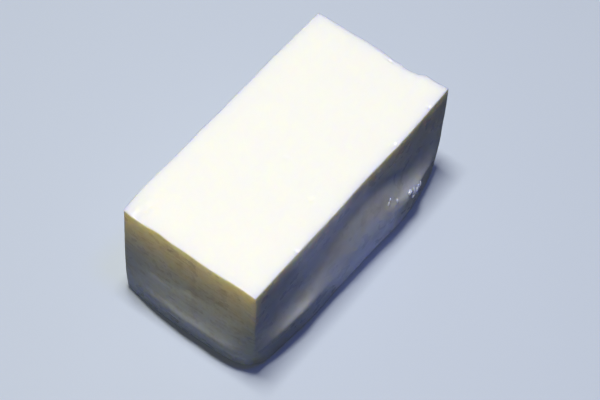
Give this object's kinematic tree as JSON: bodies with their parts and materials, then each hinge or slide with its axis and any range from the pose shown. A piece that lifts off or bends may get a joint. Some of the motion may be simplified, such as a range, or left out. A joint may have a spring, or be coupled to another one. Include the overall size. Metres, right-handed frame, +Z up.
{
  "type": "tofu block",
  "caption": "Block of fresh silken tofu, oblong, with a flat top, crisp knife-cut rim and sides that slump outward to a soft foot.",
  "frame": {"origin": "middle of the bounding box at the flat underside the block stands on", "axes": "+X along the block's length, +Y across it, +Z up from the underside to the cut top"},
  "size_m": [0.1138, 0.0644, 0.0463],
  "materials": {
    "tofu": "moist translucent ivory curd"
  },
  "bodies": {
    "root": {"tofu_block": "tofu"}
  },
  "joints": []
}
